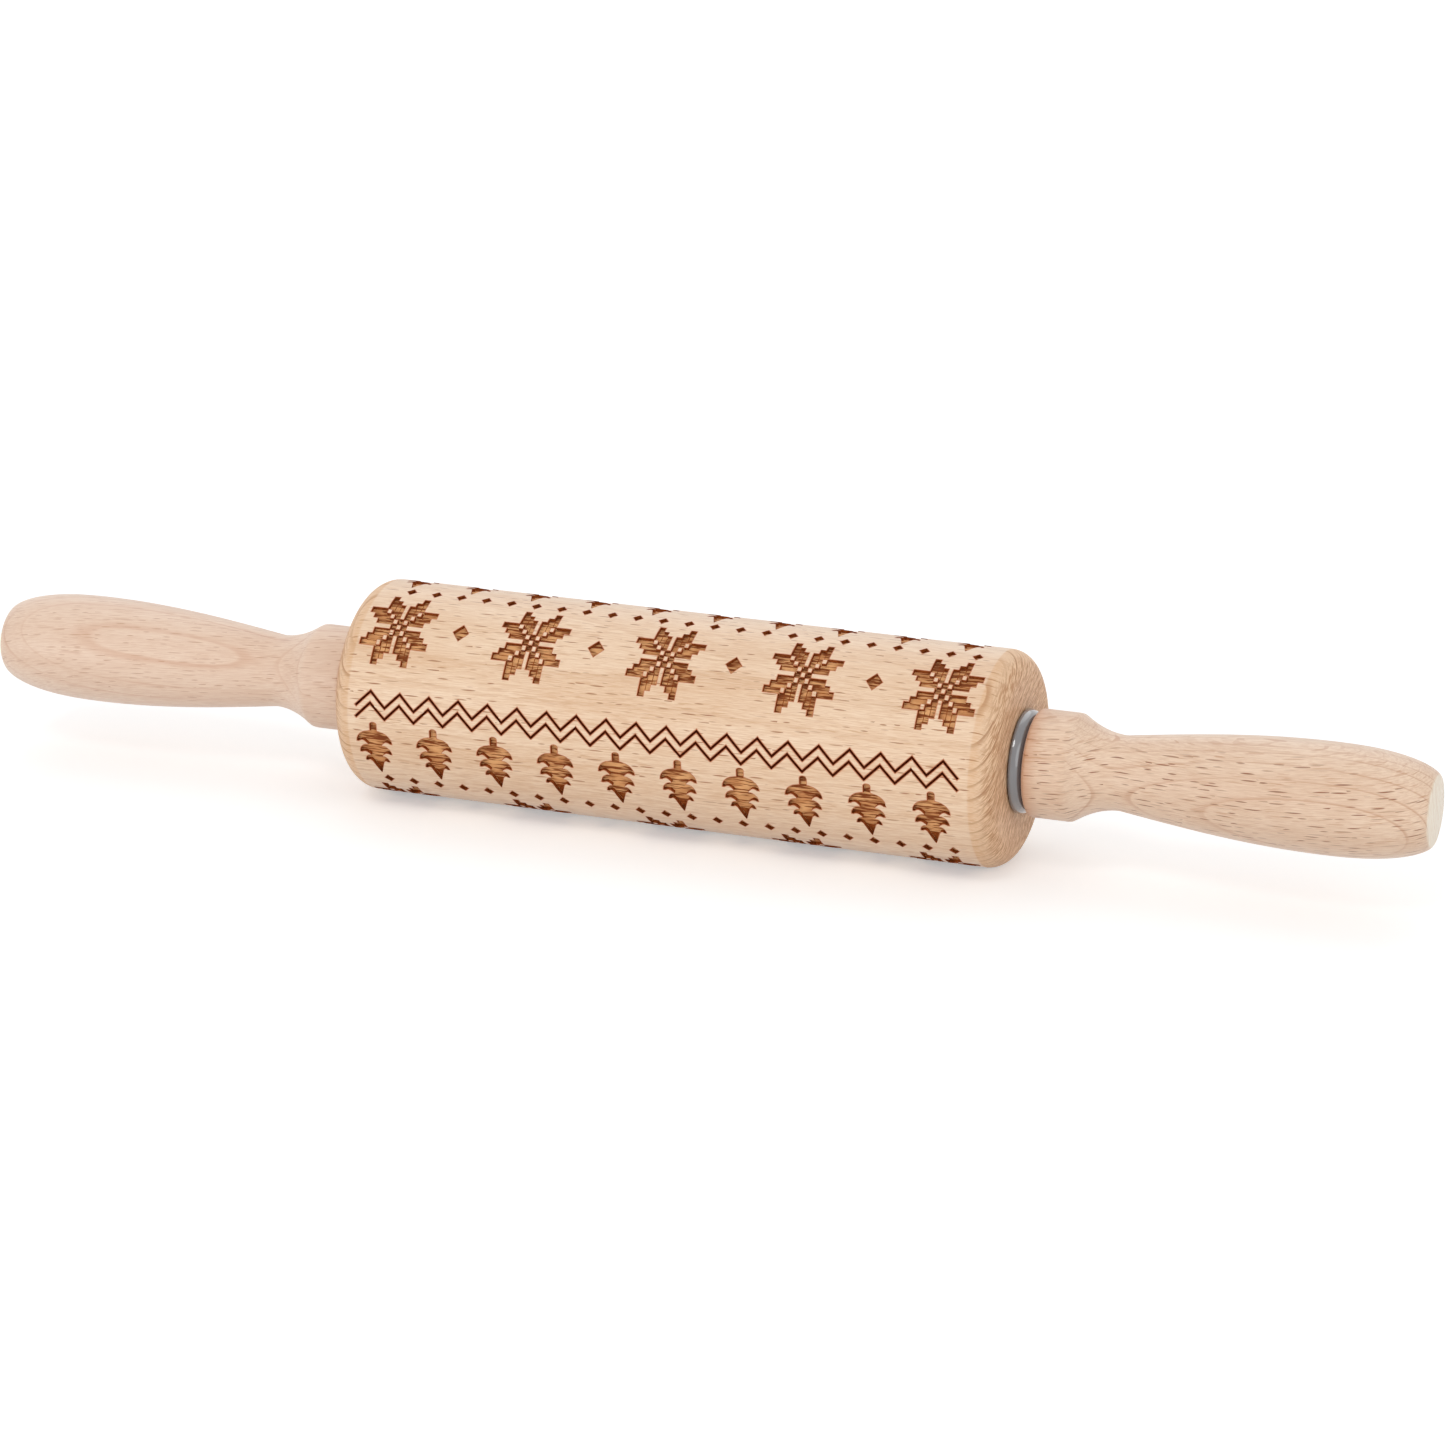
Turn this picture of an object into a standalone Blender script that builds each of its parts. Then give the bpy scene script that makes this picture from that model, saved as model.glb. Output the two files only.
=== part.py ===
"""A rolling pin: an engraved beech roller on two bushes, an axle and two turned handles.

Units are metres. The pin lies along X on the plane Z = 0, with its front facing -Y.
Every piece is turned about one axis, which is also the axis that the roller spins on.
The engraving is drawn on the roller's unrolled surface, as (along, around) points, where
around is the distance round the roller from its front, upwards.
"""

import math

import bmesh
import bpy
from mathutils import Vector
from mathutils.geometry import delaunay_2d_cdt

# Roller
ROLLER_RADIUS = 0.0275
ROLLER_LENGTH = 0.1768
ROLLER_END_ROUND = 0.0060
ROLLER_BORE_RADIUS = 0.0055

# Engraving, which repeats round the roller. Rows and heights are angles about the axis
CUT_DEPTH = 0.0009
REPEAT_DEGREES = (0.0, -122.65, 118.7)
SEAM_DEGREES = -105.0

# Row of eight-petalled stars, one of them at the middle
STAR_PITCH = 0.0365
STAR_ROW_DEGREES = 51.9
STAR_HALF_LENGTH = 0.00904
STAR_HALF_DEGREES = 22.2
# Corners of a standing petal, of a star's half length and half height
PETAL_SHARES = ((0.077, 0.154), (0.538, 0.615), (0.538, 1.0), (0.077, 0.538))

# Diamonds between the stars
LARGE_DIAMOND_PITCH = 0.03697
LARGE_DIAMOND_PLACE = 0.01809
LARGE_DIAMOND_ROW_DEGREES = 53.0
LARGE_DIAMOND_HALF_LENGTH = 0.0021
LARGE_DIAMOND_HALF_DEGREES = 5.1

# Row of small diamonds
SMALL_DIAMOND_PITCH = 0.00693
SMALL_DIAMOND_PLACE = 0.0015
SMALL_DIAMOND_ROW_DEGREES = 81.25
SMALL_DIAMOND_HALF_LENGTH = 0.0013
SMALL_DIAMOND_HALF_DEGREES = 3.3

# Row of firs, which stand on their tips
FIR_PITCH = 0.01662
FIR_PLACE = 0.00711
FIR_TOP_DEGREES = 120.45
FIR_DEGREES = 33.3
FIR_HALF_WIDTH = 0.00485
FIR_TRUNK_SHARE = 0.185
FIR_TIP_SHARE = 0.04
# Start and end of each tier down the height, its reach and the stem below it
FIR_TIER_SHARES = (
    (0.153, 0.355, 1.00, 0.39),
    (0.408, 0.563, 0.90, 0.33),
    (0.618, 0.738, 0.68, 0.33),
)
FIR_ARM_STEPS = 2

# Bushes
BUSH_SLEEVE_RADIUS = 0.0080
BUSH_SLEEVE_LENGTH = 0.018
BUSH_FLANGE_RADIUS = 0.0132
BUSH_FLANGE_WIDTH = 0.0030

# Axle
AXLE_RADIUS = 0.0040
AXLE_CHAMFER = 0.0008
AXLE_SEAT_DEPTH = 0.045

# Handles, measured from the inner end that faces the bush
HANDLE_LENGTH = 0.1009
COLLAR_RADIUS = 0.0136
COLLAR_LENGTH = 0.0108
COLLAR_EDGE_ROUND = 0.0011
NECK_RADIUS = 0.0094
NECK_DISTANCE = 0.0227
BELLY_RADIUS = 0.0139
BELLY_DISTANCE = 0.0741
TIP_FLAT_RADIUS = 0.0085

# Clearances
SEAT_GAP = 0.0003
RUNNING_GAP = 0.0003

# Shape of the turned curves
TIP_CURVE_POWER = 2.44
TIP_EDGE_POWER = 1.6
DRILL_POINT_DEGREES = 118

# Facets of the round forms
ROLLER_FACETS = 36
SMALL_FACETS = 32
EDGE_STEPS = 2
ROUND_STEPS = 5
RIM_STEPS = 4
COVE_STEPS = 4
SWELL_STEPS = 6
TIP_STEPS = 8
MERGE_DISTANCE = 1e-6
SHEET_TOLERANCE = 1e-6
SHARP_DEGREES = 35

# Sizes worked out from the ones above
ROLLER_HALF = ROLLER_LENGTH / 2
LEVEL_HALF = ROLLER_HALF - ROLLER_END_ROUND
FLANGE_INNER_X = ROLLER_HALF + SEAT_GAP
FLANGE_OUTER_X = FLANGE_INNER_X + BUSH_FLANGE_WIDTH
HANDLE_START_X = FLANGE_OUTER_X + SEAT_GAP
AXLE_HALF = HANDLE_START_X + AXLE_SEAT_DEPTH
# The roller lies on the middle of a flat facet
FACET_ANGLE = math.tau / ROLLER_FACETS
AXIS_HEIGHT = ROLLER_RADIUS * math.cos(FACET_ANGLE / 2)
FIRST_FACET_LINE = FACET_ANGLE / 2 - math.pi / 2


def clear_scene():
    for item in list(bpy.data.objects):
        bpy.data.objects.remove(item, do_unlink=True)


def make_material(name, colour, roughness, metallic):
    material = bpy.data.materials.new(name)
    material.use_nodes = True
    shader = material.node_tree.nodes["Principled BSDF"]
    shader.inputs["Base Color"].default_value = (*colour, 1.0)
    shader.inputs["Roughness"].default_value = roughness
    shader.inputs["Metallic"].default_value = metallic
    return material


def roller_beech():
    return make_material("roller_beech", (0.74, 0.53, 0.35), 0.55, 0.0)


def handle_beech():
    return make_material("handle_beech", (0.70, 0.46, 0.33), 0.55, 0.0)


def grey_plastic():
    return make_material("grey_plastic", (0.20, 0.21, 0.22), 0.25, 0.0)


def axle_steel():
    return make_material("axle_steel", (0.60, 0.60, 0.62), 0.30, 1.0)


def arc(centre, radius, start_degrees, end_degrees, steps):
    """Points along an arc in the (along, radius) plane, both ends included."""
    points = []
    for step in range(steps + 1):
        angle = math.radians(start_degrees + (end_degrees - start_degrees) * step / steps)
        points.append((centre[0] + radius * math.cos(angle), centre[1] + radius * math.sin(angle)))
    return points


def mirrored(outline):
    return [(-along, radius) for along, radius in outline]


def turned_shape(outline, facets, closed):
    """Turn an outline about the X axis, with a flat facet at the bottom."""
    shape = bmesh.new()
    start = math.pi / facets - math.pi / 2
    points = [
        shape.verts.new((along, radius * math.cos(start), radius * math.sin(start)))
        for along, radius in outline
    ]
    edges = [shape.edges.new(pair) for pair in zip(points, points[1:])]
    if closed:
        edges.append(shape.edges.new((points[-1], points[0])))
    bmesh.ops.spin(
        shape,
        geom=points + edges,
        cent=(0, 0, 0),
        axis=(1, 0, 0),
        angle=math.tau,
        steps=facets,
        use_merge=True,
    )
    return shape


def make_piece(name, shape, material):
    """Close the shape and make it an object on the turning axis."""
    bmesh.ops.remove_doubles(shape, verts=shape.verts, dist=MERGE_DISTANCE)
    bmesh.ops.recalc_face_normals(shape, faces=shape.faces)
    if shape.calc_volume(signed=True) < 0:
        bmesh.ops.reverse_faces(shape, faces=shape.faces)
    mesh = bpy.data.meshes.new(name)
    shape.to_mesh(mesh)
    shape.free()
    mesh.shade_smooth()
    mesh.set_sharp_from_angle(angle=math.radians(SHARP_DEGREES))
    mesh.materials.append(material)
    piece = bpy.data.objects.new(name, mesh)
    piece.location = (0, 0, AXIS_HEIGHT)
    bpy.context.scene.collection.objects.link(piece)
    return piece


def turn(name, outline, material, closed):
    return make_piece(name, turned_shape(outline, SMALL_FACETS, closed), material)


def around_at(degrees):
    return ROLLER_RADIUS * math.radians(degrees)


def row(place, pitch, half_length):
    """Places of a row's figures, as many as fit on the level part, one at the given place."""
    reach = LEVEL_HALF - half_length
    first = math.ceil((-reach - place) / pitch)
    last = math.floor((reach - place) / pitch)
    return [place + i * pitch for i in range(first, last + 1)]


def anticlockwise(outline):
    following = outline[1:] + outline[:1]
    turn_area = sum(a[0] * b[1] - b[0] * a[1] for a, b in zip(outline, following))
    return outline if turn_area > 0 else outline[::-1]


def star(along, around):
    """Eight petals, a standing and a lying one in each quarter."""
    half_height = around_at(STAR_HALF_DEGREES)
    petals = []
    for side in (-1, 1):
        for rise in (-1, 1):
            for a, b in ((0, 1), (1, 0)):
                petals.append(anticlockwise([
                    (
                        along + side * shares[a] * STAR_HALF_LENGTH,
                        around + rise * shares[b] * half_height,
                    )
                    for shares in PETAL_SHARES
                ]))
    return petals


def diamond(along, around, half_length, half_degrees):
    half_height = around_at(half_degrees)
    return [
        (along, around - half_height),
        (along + half_length, around),
        (along, around + half_height),
        (along - half_length, around),
    ]


def fir(along, around):
    """A fir with the end of its trunk at the given place and its tip below."""
    height = around_at(FIR_DEGREES)
    stem = FIR_TRUNK_SHARE * FIR_HALF_WIDTH
    half = [(stem, 0)]
    for start_share, end_share, reach_share, stem_share in FIR_TIER_SHARES:
        start, end = start_share * height, end_share * height
        reach = reach_share * FIR_HALF_WIDTH
        for step in range(FIR_ARM_STEPS + 1):
            angle = step / FIR_ARM_STEPS * math.pi / 2
            out = stem + (reach - stem) * math.sin(angle)
            half.append((out, end - (end - start) * math.cos(angle)))
        stem = stem_share * FIR_HALF_WIDTH
        half.append((stem, end))
    half.append((FIR_TIP_SHARE * FIR_HALF_WIDTH, height))
    left = [(along - out, around - down) for out, down in half]
    right = [(along + out, around - down) for out, down in half]
    return left + right[::-1]


def figures(turned_degrees):
    """Outlines of one repeat of the engraving, turned round the roller by an angle."""
    stars = around_at(STAR_ROW_DEGREES + turned_degrees)
    large = around_at(LARGE_DIAMOND_ROW_DEGREES + turned_degrees)
    small = around_at(SMALL_DIAMOND_ROW_DEGREES + turned_degrees)
    firs = around_at(FIR_TOP_DEGREES + turned_degrees)
    outlines = []
    for along in row(0, STAR_PITCH, STAR_HALF_LENGTH):
        outlines += star(along, stars)
    for along in row(LARGE_DIAMOND_PLACE, LARGE_DIAMOND_PITCH, LARGE_DIAMOND_HALF_LENGTH):
        sizes = (LARGE_DIAMOND_HALF_LENGTH, LARGE_DIAMOND_HALF_DEGREES)
        outlines.append(diamond(along, large, *sizes))
    for along in row(SMALL_DIAMOND_PLACE, SMALL_DIAMOND_PITCH, SMALL_DIAMOND_HALF_LENGTH):
        sizes = (SMALL_DIAMOND_HALF_LENGTH, SMALL_DIAMOND_HALF_DEGREES)
        outlines.append(diamond(along, small, *sizes))
    for along in row(FIR_PLACE, FIR_PITCH, FIR_HALF_WIDTH):
        outlines.append(fir(along, firs))
    return outlines


def facet_lines():
    """Places of the facet lines all round the roller, from the sheet's seam on."""
    seam = round((math.radians(SEAM_DEGREES) - FIRST_FACET_LINE) / FACET_ANGLE)
    return [
        ROLLER_RADIUS * (FIRST_FACET_LINE + FACET_ANGLE * (seam + i))
        for i in range(ROLLER_FACETS + 1)
    ]


def cut_sheet():
    """The unrolled surface as triangles, and whether each is cut away."""
    outlines = [outline for degrees in REPEAT_DEGREES for outline in figures(degrees)]
    points = [point for outline in outlines for point in outline]
    faces = []
    for outline in outlines:
        first = sum(len(face) for face in faces)
        faces.append([first + i for i in range(len(outline))])
    edges = []
    lines = facet_lines()
    for around in lines:
        edges.append((len(points), len(points) + 1))
        points += [(-LEVEL_HALF, around), (LEVEL_HALF, around)]
    for along in (-LEVEL_HALF, LEVEL_HALF):
        edges.append((len(points), len(points) + 1))
        points += [(along, lines[0]), (along, lines[-1])]
    # Counted in roller radii, so that the tolerance is a share as well
    counted = [Vector(point) / ROLLER_RADIUS for point in points]
    sheet = delaunay_2d_cdt(counted, edges, faces, 0, SHEET_TOLERANCE)
    corners = [tuple(corner * ROLLER_RADIUS) for corner in sheet[0]]
    cut = [len(inside) > 0 for inside in sheet[5]]
    return corners, sheet[2], cut


def facet_radius(angle):
    """Distance from the axis to the flat facet that lies at an angle."""
    past_line = (angle - FIRST_FACET_LINE) % FACET_ANGLE
    return ROLLER_RADIUS * math.cos(FACET_ANGLE / 2) / math.cos(past_line - FACET_ANGLE / 2)


def rolled(corner, depth):
    """A point of the sheet, wrapped round the roller and sunk to a depth."""
    along, around = corner
    angle = around / ROLLER_RADIUS
    radius = facet_radius(angle) * (1 - depth / ROLLER_RADIUS)
    return (along, -radius * math.cos(angle), radius * math.sin(angle))


def cut_edges(triangles, cut):
    """Edges of the cut triangles that border on uncut ones."""
    sides = {}
    for triangle, is_cut in zip(triangles, cut):
        for i in range(3):
            sides[(triangle[i - 1], triangle[i])] = is_cut
    return [(a, b) for (a, b), is_cut in sides.items() if is_cut and not sides.get((b, a), True)]


def add_engraved_surface(shape):
    """Cover the level part of the roller, with a floor and walls to each cut figure."""
    corners, triangles, cut = cut_sheet()
    top = [shape.verts.new(rolled(corner, 0)) for corner in corners]
    floor = [shape.verts.new(rolled(corner, CUT_DEPTH)) for corner in corners]
    for triangle, is_cut in zip(triangles, cut):
        level = floor if is_cut else top
        shape.faces.new([level[i] for i in triangle])
    for a, b in cut_edges(triangles, cut):
        shape.faces.new([top[a], top[b], floor[b], floor[a]])
    bmesh.ops.delete(
        shape, geom=[corner for corner in shape.verts if not corner.link_faces], context="VERTS"
    )


def roller_outline():
    """Everything but the level outside: rounded ends, bush seats and a through bore."""
    seat_radius = BUSH_SLEEVE_RADIUS + SEAT_GAP
    seat_floor = ROLLER_HALF - BUSH_SLEEVE_LENGTH
    round_centre = (LEVEL_HALF, ROLLER_RADIUS - ROLLER_END_ROUND)
    half = arc(round_centre, ROLLER_END_ROUND, 90, 0, ROUND_STEPS)
    half += [
        (ROLLER_HALF, seat_radius),
        (seat_floor, seat_radius),
        (seat_floor, ROLLER_BORE_RADIUS),
    ]
    return half + mirrored(half)[::-1]


def engraved_roller(material):
    shape = turned_shape(roller_outline(), ROLLER_FACETS, closed=False)
    add_engraved_surface(shape)
    return make_piece("roller", shape, material)


def bush_outline():
    """Sleeve in the roller's seat, with a fully rounded flange outside it."""
    bore_radius = AXLE_RADIUS + RUNNING_GAP
    rim_radius = BUSH_FLANGE_WIDTH / 2
    rim_centre = (FLANGE_INNER_X + rim_radius, BUSH_FLANGE_RADIUS - rim_radius)
    sleeve_end = FLANGE_INNER_X - BUSH_SLEEVE_LENGTH
    outline = [
        (sleeve_end, bore_radius),
        (sleeve_end, BUSH_SLEEVE_RADIUS),
        (FLANGE_INNER_X, BUSH_SLEEVE_RADIUS),
    ]
    outline += arc(rim_centre, rim_radius, 180, 0, RIM_STEPS)
    outline.append((FLANGE_OUTER_X, bore_radius))
    return outline


def axle_outline():
    end = [
        (AXLE_HALF - AXLE_CHAMFER, AXLE_RADIUS),
        (AXLE_HALF, AXLE_RADIUS - AXLE_CHAMFER),
        (AXLE_HALF, 0),
    ]
    return mirrored(end)[::-1] + end


def grip_radius(along):
    """Radius of the handle outside its collar: a cove, a long swell and a rounded tip."""
    if along < NECK_DISTANCE:
        share = (along - COLLAR_LENGTH) / (NECK_DISTANCE - COLLAR_LENGTH)
        return NECK_RADIUS + (COLLAR_RADIUS - NECK_RADIUS) * (1 - share) ** 2
    if along < BELLY_DISTANCE:
        share = (along - NECK_DISTANCE) / (BELLY_DISTANCE - NECK_DISTANCE)
        return NECK_RADIUS + (BELLY_RADIUS - NECK_RADIUS) * math.sin(share * math.pi / 2)
    share = min((along - BELLY_DISTANCE) / (HANDLE_LENGTH - BELLY_DISTANCE), 1)
    fullness = (1 - share ** TIP_CURVE_POWER) ** (1 / TIP_EDGE_POWER)
    return TIP_FLAT_RADIUS + (BELLY_RADIUS - TIP_FLAT_RADIUS) * fullness


def grip_stations():
    """Distances at which the grip is cut, close together where it curves most."""
    cove = [
        COLLAR_LENGTH + (NECK_DISTANCE - COLLAR_LENGTH) * step / COVE_STEPS
        for step in range(COVE_STEPS)
    ]
    swell = [
        NECK_DISTANCE + (BELLY_DISTANCE - NECK_DISTANCE) * step / SWELL_STEPS
        for step in range(SWELL_STEPS)
    ]
    tip = [
        BELLY_DISTANCE + (HANDLE_LENGTH - BELLY_DISTANCE) * math.sin(step / TIP_STEPS * math.pi / 2)
        for step in range(TIP_STEPS + 1)
    ]
    return cove + swell + tip


def handle_outline():
    """Turned handle with a collar and a blind bore for the axle."""
    bore_radius = AXLE_RADIUS + SEAT_GAP
    bore_depth = AXLE_SEAT_DEPTH + SEAT_GAP
    drill_point = bore_radius / math.tan(math.radians(DRILL_POINT_DEGREES / 2))
    edge_centre = (COLLAR_EDGE_ROUND, COLLAR_RADIUS - COLLAR_EDGE_ROUND)
    outline = [(bore_depth + drill_point, 0), (bore_depth, bore_radius), (0, bore_radius)]
    outline += arc(edge_centre, COLLAR_EDGE_ROUND, 180, 90, EDGE_STEPS)
    outline += [(along, grip_radius(along)) for along in grip_stations()]
    outline.append((HANDLE_LENGTH, 0))
    return [(HANDLE_START_X + along, radius) for along, radius in outline]


def make_turning_axis(name):
    """An empty on the joint's axis, which carries what turns there."""
    axis = bpy.data.objects.new(name, None)
    axis.location = (0, 0, AXIS_HEIGHT)
    bpy.context.scene.collection.objects.link(axis)
    return axis


def put_on_axis(piece, axis):
    piece.parent = axis
    piece.location = (0, 0, 0)


def build():
    clear_scene()
    wood = handle_beech()
    plastic = grey_plastic()
    engraved_roller(roller_beech())
    turn("bush_left", mirrored(bush_outline()), plastic, closed=True)
    turn("bush_right", bush_outline(), plastic, closed=True)
    turning_pieces = [
        turn("axle", axle_outline(), axle_steel(), closed=False),
        turn("handle_left", mirrored(handle_outline()), wood, closed=False),
        turn("handle_right", handle_outline(), wood, closed=False),
    ]
    handle_axis = make_turning_axis("handle_axis")
    for piece in turning_pieces:
        put_on_axis(piece, handle_axis)


build()
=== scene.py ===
"""The looks of a beech rolling pin with an engraved roller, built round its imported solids.

Units are metres. The pin lies along X, its front faces -Y, and Z is up. An angle on the roller
is measured about its axis from the front, upwards. Outlines of the pattern are drawn on the
unrolled surface, as (along, around) points.
"""

import math

import bmesh
import bpy
from mathutils import Matrix, Vector
from mathutils.geometry import delaunay_2d_cdt


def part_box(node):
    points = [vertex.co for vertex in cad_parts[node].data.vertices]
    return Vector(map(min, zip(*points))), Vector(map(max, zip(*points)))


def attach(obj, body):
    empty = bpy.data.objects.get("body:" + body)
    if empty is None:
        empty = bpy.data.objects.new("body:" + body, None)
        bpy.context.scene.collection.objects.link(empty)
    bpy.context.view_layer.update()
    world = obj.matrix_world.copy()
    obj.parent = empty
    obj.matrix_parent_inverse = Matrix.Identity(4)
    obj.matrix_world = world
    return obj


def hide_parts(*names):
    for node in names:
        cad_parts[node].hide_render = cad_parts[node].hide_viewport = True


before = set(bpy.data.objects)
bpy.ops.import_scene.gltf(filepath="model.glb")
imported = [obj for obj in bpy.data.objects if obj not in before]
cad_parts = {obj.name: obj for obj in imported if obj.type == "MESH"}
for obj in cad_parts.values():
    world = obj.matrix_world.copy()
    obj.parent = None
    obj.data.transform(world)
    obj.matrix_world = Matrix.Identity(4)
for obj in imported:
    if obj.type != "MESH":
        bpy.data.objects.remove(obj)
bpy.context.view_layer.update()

# Sizes that the frame gives
ROLLER_LOW, ROLLER_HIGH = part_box("roller")
HANDLE_LOW, HANDLE_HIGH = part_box("handle_right")
BUSH_LOW, BUSH_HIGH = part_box("bush_right")
AXIS_HEIGHT = (ROLLER_LOW.z + ROLLER_HIGH.z) / 2
ROLLER_RADIUS = (ROLLER_HIGH.z - ROLLER_LOW.z) / 2
ROLLER_HALF = ROLLER_HIGH.x
HANDLE_START_X = HANDLE_LOW.x
HANDLE_LENGTH = HANDLE_HIGH.x - HANDLE_LOW.x

# Roller; its engraved sheet ends on the rounding
ROLLER_END_ROUND = 0.0060
ROLLER_BORE_RADIUS = 0.0055
SHEET_HALF = 0.083

# Bushes
BUSH_SLEEVE_RADIUS = 0.0080
BUSH_SLEEVE_LENGTH = 0.018
BUSH_FLANGE_RADIUS = 0.0132
BUSH_FLANGE_WIDTH = 0.0030
BUSH_FLANGE_EDGE_ROUND = 0.00015
BUSH_FLANGE_DOME = 0.0022
AXLE_RADIUS = 0.0040

# Handles, measured from the inner end that faces the bush
AXLE_SEAT_DEPTH = 0.045
COLLAR_RADIUS = 0.0136
COLLAR_LENGTH = 0.0108
COLLAR_EDGE_ROUND = 0.0011
COLLAR_RIDGE_ROUND = 0.0004
NECK_RADIUS = 0.0094
NECK_DISTANCE = 0.0227
BELLY_RADIUS = 0.0139
BELLY_DISTANCE = 0.0741
TIP_FLAT_RADIUS = 0.0085
TIP_CURVE_POWER = 2.44
TIP_EDGE_POWER = 1.6
DRILL_POINT_DEGREES = 118

# Clearances
SEAT_GAP = 0.0003
RUNNING_GAP = 0.0003

# Fineness of the meshes
ROLLER_FACETS = 180
SHEET_STATIONS = 24
EDGE_STATIONS = 3
TURNED_FACETS = 128
ROUND_STEPS = 14
EDGE_STEPS = 5
GRIP_STEPS = 90
TIP_STEPS = 24
MERGE_DISTANCE = 1e-6
SHARP_DEGREES = 30

# How the sheet is cut: the unit that its points are given in, how close two points may lie, and
# the cutter's number for a result in triangles over the whole sheet
SHEET_UNIT = 0.001
SHEET_EPSILON = 1e-5
SHEET_TRIANGLES = 0

# Least divisor of a mitred corner, which keeps a sharp one from running far out
MITRE_FLOOR = 0.4

# Engraving: how far each repeat is turned, where the sheet's seam lies, the depths, how far a
# star's cells overlap, and the darkened margin round the figures of each depth
REPEAT_DEGREES = (0.0, -122.65, 118.7)
SEAM_DEGREES = -99.0
CUT_DEPTH = 0.0009
LINE_DEPTH = 0.0004
KERF = 0.0001
SCORCH_MARGINS = {CUT_DEPTH: 0.00028, LINE_DEPTH: 0.00034}

# Stars, drawn on a grid of cells
STAR_COUNT = 5
STAR_PITCH = 0.0365
STAR_ROW_DEGREES = 51.9
STAR_CELL_ALONG = 0.00139
STAR_CELL_AROUND = 0.001640
STAR_STEPS = 3
STAR_ARM_CELLS = 3

# Diamonds between the stars
LARGE_DIAMOND_COUNT = 4
LARGE_DIAMOND_PITCH = 0.03697
LARGE_DIAMOND_MIDDLE = -0.0004
LARGE_DIAMOND_ROW_DEGREES = 53.0
LARGE_DIAMOND_HALF_ALONG = 0.0021
LARGE_DIAMOND_HALF_AROUND = 0.00245

# Row of small diamonds
SMALL_DIAMOND_COUNT = 23
SMALL_DIAMOND_PITCH = 0.00693
SMALL_DIAMOND_MIDDLE = 0.0015
SMALL_DIAMOND_ROW_DEGREES = 81.25
SMALL_DIAMOND_HALF_ALONG = 0.0013
SMALL_DIAMOND_HALF_AROUND = 0.0016

# Firs, which stand on their tips; each tier's shares are of the height or of the half width
FIR_COUNT = 10
FIR_PITCH = 0.01662
FIR_MIDDLE = -0.0012
FIR_TOP_DEGREES = 120.45
FIR_HEIGHT = 0.0160
FIR_HALF_WIDTH = 0.00485
FIR_TRUNK_SHARE = 0.185
FIR_TRUNK_ROUND_SHARE = 0.035
FIR_ARM_END_SHARE = 0.10
FIR_TIP_SHARE = 0.03
# Painted shade in a fir's narrow tip: the share of the height where it starts, and its half width
# there
FIR_TIP_SHADE_SHARE = 0.80
FIR_TIP_SHADE_HALF_SHARE = 0.24
# Top, arm ends, rise of the underside, its drop at the stem, reach of the arms, stem below
FIR_TIER_SHARES = (
    (0.153, 0.355, 0.047, 0.039, 1.00, 0.39),
    (0.408, 0.563, 0.039, 0.044, 0.90, 0.33),
    (0.618, 0.738, 0.026, 0.003, 0.68, 0.33),
)
FIR_ARM_STEPS = 7
FIR_UNDERSIDE_STEPS = 6
FIR_TRUNK_STEPS = 4

# Pair of zigzag lines
ZIGZAG_PEAKS = 20
ZIGZAG_PITCH = 0.00806
ZIGZAG_MIDDLE = -0.00015
ZIGZAG_RISE = 0.0040
ZIGZAG_STROKE = 0.00058
ZIGZAG_ROW_DEGREES = (127.0, 133.25)

# Camera, fitted to the photograph
PHOTO_SIZE = 1445
ROLLER_CENTRE_PIXEL = (690.07, 720.3)
FOCAL_PIXELS = 5035.7
CAMERA_DISTANCE = 1.2792
CAMERA_AZIMUTH = 20.79
CAMERA_ELEVATION = 18.70
SENSOR_WIDTH_MM = 36.0
CAMERA_CLIP_START = 0.05
CAMERA_CLIP_END = 20.0

# Light
WORLD_LEVEL = 0.60
FLOOR_SIZE = 6.0
FLOOR_COLOUR = (0.82, 0.82, 0.82)
FLOOR_GLOW = 0.38
# Suns: name, direction towards the light, level on a surface that faces it, spread in degrees
SUNS = (
    ("front_left", (-0.50, -0.86, 0.02), 0.31, 24),
    ("high_front", (-0.05, -0.58, 0.81), 0.11, 16),
    ("right", (0.85, -0.45, 0.28), 0.18, 50),
    ("back_top", (-0.20, 0.64, 0.77), 0.18, 60),
)


def barrel_radius(along):
    """Radius of the roller's outside, level but for its rounded ends."""
    past = abs(along) - (ROLLER_HALF - ROLLER_END_ROUND)
    if past <= 0:
        return ROLLER_RADIUS
    return ROLLER_RADIUS - ROLLER_END_ROUND + math.sqrt(max(ROLLER_END_ROUND**2 - past**2, 0))


def about_axis(along, radius, angle):
    return Vector((along, -radius * math.cos(angle), AXIS_HEIGHT + radius * math.sin(angle)))


def arc(centre, radius, start_degrees, end_degrees, steps):
    """Points along an arc in the (along, radius) plane, both ends included."""
    points = []
    for step in range(steps + 1):
        angle = math.radians(start_degrees + (end_degrees - start_degrees) * step / steps)
        points.append((centre[0] + radius * math.cos(angle), centre[1] + radius * math.sin(angle)))
    return points


def mirrored(outline):
    return [(-along, radius) for along, radius in outline]


# Outlines of the pattern

def around_at(degrees):
    """Distance round the roller at an angle."""
    return ROLLER_RADIUS * math.radians(degrees)


def rectangle(left, right, low, high):
    return [(left, low), (right, low), (right, high), (left, high)]


def diamond(along, around, half_along, half_around):
    return [
        (along, around - half_around),
        (along + half_along, around),
        (along, around + half_around),
        (along - half_along, around),
    ]


def turn_area(outline):
    """Twice the signed area, positive for an anticlockwise outline."""
    following = outline[1:] + outline[:1]
    return sum(a[0] * b[1] - b[0] * a[1] for a, b in zip(outline, following))


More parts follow.
